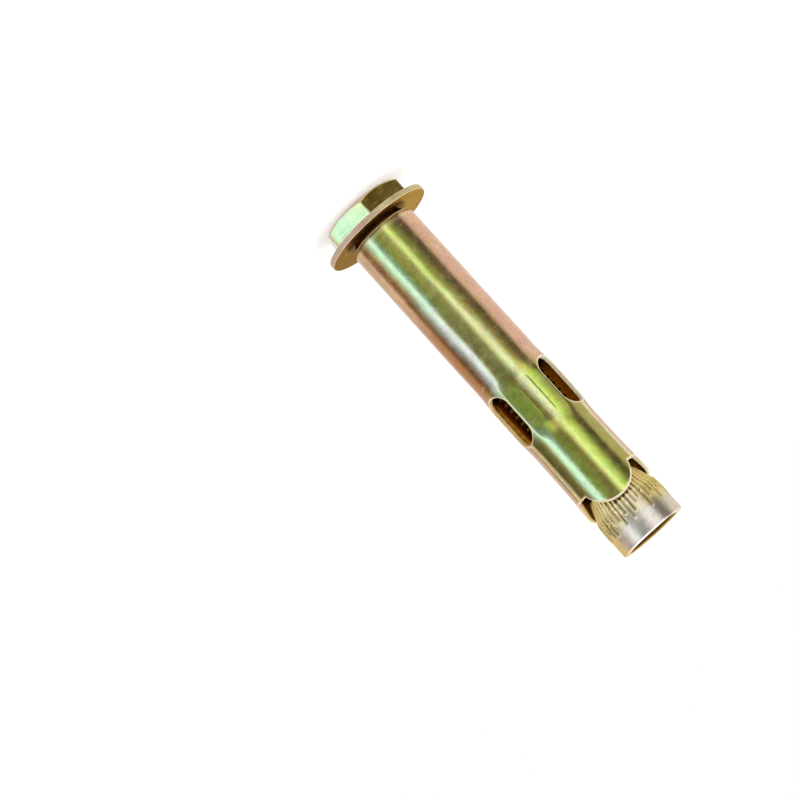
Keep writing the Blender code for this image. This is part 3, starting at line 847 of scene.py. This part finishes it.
def bolt_finishes():
    """Outer face and chamfer, flats of the head, and shank with its thread."""
    # Hex head: cold forged and trimmed, zinc under a thick film. Trimming leaves faint lines parallel to
    # its faces' long edges, and each flat has taken its own tint, partly film and partly painted
    # reflection: dark olive from -64 to -7 degrees, pale mint from -4 to 53 degrees.
    along_flat = (0.05, 0.05, 1.0)
    flats = [(-180, "CCC48C"), (-126, "D0CC94"), (-124, "D8B890"), (-66, "D8B48C"), (-64, "AE964A"),
             (-7, "A48A3A"), (-4, "E4FFC8"), (4, "DEFFCA"), (20, "D6FFD6"), (53, "D6FFCC"),
             (56, "E0C8A8"), (114, "D8C098"), (117, "C4CC8C"), (180, "CCC48C")]
    head_flats = zinc("forged_head_zinc", [(0, 0, flats)], 0.22, 0.05, (along_flat, 0.28, 0.22, 0.005),
                      (0.8, 0.15, "A89A60"), [(84, 0.35)], mottle=0.16)
    # The chamfer and the outer face were struck by the forging die: duller and pinker than the flats.
    head_face = zinc("die_struck_zinc", [(0, 0, [(-180, "CDB29A"), (-60, "CDB896"), (0, "CBB098"),
                                                 (60, "C9AE9A"), (180, "CDB29A")])],
                     0.36, 0.06, ((1.0, 1.0, 1.0), 0.6, 0.08, 0.006), (0.5, 0.35, "7A6038"), [])
    # Shank: drawn rod with a brassy brown film where the sleeve keeps light and air off it; its tint is
    # painted lighter from about 36 to 90 degrees, painted light on the thread where it shows through a
    # window.
    shank = zinc("drawn_shank_zinc", [(0, 0, [(-180, "8A6430"), (-60, "5A3E1C"), (-20, "7A5426"),
                                              (36, "704E24"), (54, "96703C"), (90, "96703C"),
                                              (180, "8A6430")])],
                 0.34, 0.06, ((1.0, 1.0, 0.06), 0.3, 0.12, 0.004), (0.4, 0.5, "3A280E"), [], edge="B09060")
    return [head_face, head_flats, shank]


def washer_finishes():
    """Faces and outer rim."""
    # Washer: stamped from rolled strip, satin and tan; its tint is painted darker towards +X, as painted
    # shade.
    washer_face = zinc("stamped_washer_zinc", [(0, 0, [(-180, "B09C74"), (-120, "C2A470"), (-60, "C2A066"),
                                                       (-10, "A88E62"), (60, "94785A"), (120, "94785A"),
                                                       (180, "B09C74")])],
                       0.22, 0.05, ((1.0, 0.15, 1.0), 0.5, 0.06, 0.003), (0.6, 0.3, "6A5230"),
                       [], edge="CDB690")
    # Its rim was sheared by the punch: matt, paler and pinker, with faint lines round it.
    washer_rim = zinc("sheared_rim_zinc", [(0, 0, [(-180, "D8C4A0"), (-60, "D2C48E"), (-20, "DCCBA2"),
                                                   (10, "E2C0AC"), (40, "DCC4B4"), (80, "CDB48E"),
                                                   (180, "D8C4A0")])],
                      0.52, 0.06, ((0.1, 0.1, 1.0), 0.3, 0.08, 0.004), (0.4, 0.3, "8A7048"), [])
    return [washer_face, washer_rim]


def sleeve_finishes():
    """Outer face, inside and cut edges of the strip."""
    # Sleeve: rolled from bright strip, so the film lies on a glossy face and shows its colours most. Its
    # bands in front are partly film and partly painted reflection of the softboxes and the dim room, and
    # the sheet is painted paler near its cut edges, partly as plating and partly as a painted highlight.
    places = [(0, 0, AT_THE_WASHER), (20, 36, ALONG_THE_MIDDLE), (47, 53, BETWEEN_WINDOWS),
              (60, 65, ON_THE_PETALS)]
    sleeve_stations = [(begins, full, sleeve_film_and_reflection(front)) for begins, full, front in places]
    sleeve_outer = zinc("rolled_strip_zinc", sleeve_stations, 0.21, 0.05,
                        ((1.0, 1.0, 0.12), 0.35, 0.06, 0.003), (0.5, 0.25, "6A6434"),
                        [(28, 0.25), (-40, 0.15), (83, 0.1)], mottle=0.12,
                        marks=("plated_edge_and_highlight", "F4EABC", 0.8))
    # Inside, the film is dull and brown; its tint is painted lighter from -108 to 98 degrees and brightest
    # from 98 to 105 degrees: painted light and a painted highlight on the inner wall where it shows through
    # a window.
    sleeve_inner = zinc("strip_inside_zinc", [(0, 0, [(-180, "5A3C1E"), (-130, "7A5026"), (-108, "A87038"),
                                                      (0, "A87840"), (98, "FFC880"), (105, "F8B468"),
                                                      (112, "8A5A2C"), (120, "5A3A1C"),
                                                      (180, "5A3C1E")])],
                        0.42, 0.08, ((1.0, 1.0, 0.2), 0.5, 0.1, 0.004), (0.6, 0.5, "5A3C1C"), [],
                        edge="BC9464")
    # Cut edges are torn steel under a thin film: rough and only in part like metal, and pale, partly as
    # torn steel and partly as a painted highlight along the edges.
    cut_edge = zinc("sheared_strip_zinc", [(0, 0, [(-180, "F8E8BC"), (-60, "FFF4D0"), (0, "FCECC4"),
                                                   (55, "FCE4B0"), (78, "FCDA98"), (110, "F8E2B0"),
                                                   (180, "F8E8BC")])],
                    0.55, 0.10, ((1.0, 1.0, 0.2), 0.3, 0.10, 0.006), (0.5, 0.3, "A88A50"), [], mottle=0.16,
                    metal=0.15)
    return [sleeve_outer, sleeve_inner, cut_edge]


def nut_finishes():
    """Knurled outside and tapped bore."""
    # Nut: knurled and turned bar, nearly silver, with gold down one side and in the grooves. The collar's
    # dark band near -41 degrees and the near-white towards -Y on collar and ribs are painted reflection;
    # the darker gold of the grooves is partly film and partly painted shade.
    collar_bands = [(-180, "D8CCA8"), (-52, "D8CCB6"), (-41, "A89C84"), (-33, "CCC2B0"), (-24, "FFF6EA"),
                    (-5, "FFFAF0"), (8, "F4EEE4"), (24, "FFFFFF"), (44, "F4DCC4"), (54, "DAC090"),
                    (66, "D6B860"), (180, "D8CCA8")]
    rib_bands = [(-180, "DCC47A"), (-60, "E0C878"), (-34, "ECD898"), (-14, "FAF0CC"), (8, "FFF8E0"),
                 (30, "F2E6B4"), (60, "DCC47A"), (180, "DCC47A")]
    knurled = zinc("knurled_nut_zinc", [(0, 0, rib_bands), (NUT_FOOT + 7.4, NUT_FOOT + 9.8, collar_bands)],
                   0.34, 0.05, ((1.0, 1.0, 0.2), 0.4, 0.06, 0.004), (0.5, 0.3, "9A8A5C"),
                   [(15, 0.3), (75, 0.2)], mottle=0.13, marks=("groove", "9A8438", 0.7))
    # The film in its tapped bore is brown and dull; the dark band just inside the cut mouth is painted
    # shade in the recess.
    deep_film = [(-180, "8A7040"), (0, "94783E"), (180, "8A7040")]
    painted_shade_film = [(-180, "4A3418"), (0, "584020"), (180, "4A3418")]
    mouth_film = [(-180, "B4965A"), (0, "A88A50"), (180, "B4965A")]
    nut_end = NUT_FOOT + NUT_LENGTH
    tapped = zinc("tapped_bore_zinc", [(0, 0, deep_film), (nut_end - 0.84, nut_end - 0.74, painted_shade_film),
                                       (nut_end - 0.32, nut_end - 0.24, mouth_film)],
                  0.42, 0.08, ((1.0, 1.0, 0.3), 0.4, 0.10, 0.004), (0.5, 0.5, "5A4420"), [], edge="A08858")
    return [knurled, tapped]


def build():
    """Every skin with its finishes, the body it rides on, the CAD node it stands for and its slot."""
    for make, finishes, body, node, slot in (
            (make_bolt, bolt_finishes, "bolt", "hex_bolt", "bolt_zinc"),
            (make_washer, washer_finishes, "washer", "flat_washer", "washer_zinc"),
            (make_sleeve, sleeve_finishes, "sleeve", "expansion_sleeve", "sleeve_zinc"),
            (make_nut, nut_finishes, "nut", "cone_nut", "nut_zinc")):
        piece = make(finishes())
        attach(piece, body)
        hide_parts(node)


def make_floor():
    """Pale floor: a disc of rings under the head, which takes its shadow and stays out of the metal.

    The camera sees half of its white as a glow, so that the shadow on it stays soft.
    """
    angle = np.linspace(0.0, TURN, FLOOR_SIDES, endpoint=False)
    radius = np.concatenate([[0.0], np.geomspace(*FLOOR_RINGS)])[:, None]
    grid = around(radius, angle[None, :], -FLOOR_DROP)
    points = np.concatenate([grid[0, :1], grid[1:].reshape(-1, 3)])
    here = np.arange(FLOOR_SIDES)
    fan = np.stack([np.zeros_like(here), here + 1, (here + 1) % FLOOR_SIDES + 1], axis=-1)
    faces = fan.tolist() + ring_faces(len(radius) - 1, FLOOR_SIDES, first=1).tolist()
    material = bpy.data.materials.new("pale_floor")
    material.use_nodes = True
    tree = material.node_tree
    paper = tree.nodes["Principled BSDF"]
    paper.inputs["Base Color"].default_value = colour("CCCAC8")
    paper.inputs["Roughness"].default_value = 0.9
    paper.inputs["Emission Color"].default_value = colour("FFFDFC")
    rays = add(tree, "ShaderNodeLightPath")
    lift = calculated(tree, 'MULTIPLY', rays.outputs["Is Camera Ray"], 0.5)
    tree.links.new(lift, paper.inputs["Emission Strength"])
    floor = skin("floor", points, faces, [material])
    floor.visible_glossy = False
    floor.visible_shadow = False


# The room round the anchor as (degrees from the camera's side, linear colour), for rays that come from
# below and for level ones.
ROOM_LOW = [
    (-180, WHITE), (-84, WHITE), (-76, (0.11, 0.10, 0.09, 1)), (-57, (0.12, 0.11, 0.10, 1)),
    (-47, (0.22, 0.22, 0.2, 1)), (-38, (0.36, 0.36, 0.34, 1)), (-31, (0.62, 0.62, 0.6, 1)),
    (-26, (1.15, 1.15, 1.12, 1)), (-14, (1.15, 1.15, 1.12, 1)), (-7, (0.32, 0.31, 0.3, 1)),
    (20, (0.24, 0.24, 0.24, 1)), (37, (0.23, 0.23, 0.23, 1)), (44, (1.3, 1.35, 1.35, 1)),
    (50, (1.15, 1.2, 1.2, 1)), (59, (0.75, 0.76, 0.76, 1)), (70, (0.5, 0.5, 0.5, 1)),
    (81, (0.26, 0.25, 0.24, 1)), (94, (0.2, 0.19, 0.18, 1)), (104, WHITE), (180, WHITE),
]
ROOM_LEVEL = [
    (-180, WHITE), (-84, WHITE), (-76, (0.2, 0.19, 0.18, 1)), (-66, (0.2, 0.19, 0.18, 1)),
    (-56, (0.34, 0.34, 0.33, 1)), (-46, (0.9, 0.9, 0.88, 1)), (-39, (1.3, 1.3, 1.26, 1)),
    (-16, (1.3, 1.3, 1.26, 1)), (-8, (0.46, 0.46, 0.44, 1)), (0, (0.28, 0.28, 0.28, 1)),
    (38, (0.27, 0.27, 0.27, 1)), (44, (1.28, 1.33, 1.33, 1)), (58, (1.3, 1.35, 1.35, 1)),
    (66, (0.55, 0.55, 0.55, 1)), (80, (0.40, 0.39, 0.38, 1)), (98, (0.42, 0.42, 0.42, 1)),
    (110, WHITE), (180, WHITE),
]

# Sines of the elevation between which one part of the room gives way to the next.
LOW_TO_LEVEL = (-0.208, -0.087)
ROOM_TO_TABLE = (-0.26, -0.36)
STRIP_STOPS = [(0.06, BLACK), (0.15, WHITE), (0.28, WHITE), (0.36, BLACK)]
CEILING_STOPS = [(0.40, BLACK), (0.60, WHITE), (0.88, WHITE), (0.97, (0.5, 0.5, 0.5, 1.0))]


def make_studio():
    """Studio as a world: white backdrop behind, a dim room on the camera's side with two tall softboxes.

    Brightness is a ramp over the azimuth, counted from the camera's side, that changes from low rays to
    level ones. On that side a dark strip runs over the room and a pale table lies under it, and a bright
    ceiling lies above. The camera and clear rays see plain white, as metal does where it faces the
    backdrop.
    """
    world = bpy.data.worlds.new("studio")
    bpy.context.scene.world = world
    world.use_nodes = True
    tree = world.node_tree
    background = tree.nodes["Background"]
    ray = add(tree, "ShaderNodeTexCoord").outputs["Generated"]
    azimuth, toward, rise = angle_and_rise(tree, ray)
    turned = ranged(tree, azimuth, -math.pi, math.pi)
    lift = ranged(tree, rise, *LOW_TO_LEVEL)
    room = mixed(tree, lift, turn_ramp(tree, turned, ROOM_LOW), turn_ramp(tree, turned, ROOM_LEVEL))
    facing = ranged(tree, toward, -0.05, 0.15)
    strip = calculated(tree, 'MULTIPLY', ramp(tree, rise, STRIP_STOPS), facing)
    room = mixed(tree, strip, room, DARK_STRIP)
    room = mixed(tree, ranged(tree, rise, *ROOM_TO_TABLE), room, TABLE)
    room = mixed(tree, ramp(tree, rise, CEILING_STOPS), room, CEILING)
    rays = add(tree, "ShaderNodeLightPath").outputs
    clear = calculated(tree, 'MAXIMUM', rays["Is Camera Ray"], rays["Is Transmission Ray"])
    tree.links.new(mixed(tree, clear, room, WHITE), background.inputs["Color"])


def make_camera():
    """Camera at the photograph's viewing angle: a long lens, rolled so that the anchor lies aslant."""
    place = Vector(CAMERA_PLACE) * MM
    aim = Vector(CAMERA_AIM) * MM
    away = (aim - place).normalized()
    upright = (Vector((0, 0, 1)) - away * away.z).normalized()
    right = Matrix.Rotation(CAMERA_ROLL, 3, -away) @ upright
    up = right.cross(away)
    camera = bpy.data.cameras.new("camera")
    camera.lens = CAMERA_LENS
    camera.sensor_width = 36.0
    camera.clip_start, camera.clip_end = 0.01, 20.0
    obj = bpy.data.objects.new("camera", camera)
    obj.matrix_world = Matrix((right, up, -away)).transposed().to_4x4()
    obj.location = place
    bpy.context.scene.collection.objects.link(obj)
    bpy.context.scene.camera = obj


build()
make_floor()
make_studio()
make_camera()
bpy.context.scene.view_settings.view_transform = 'Standard'
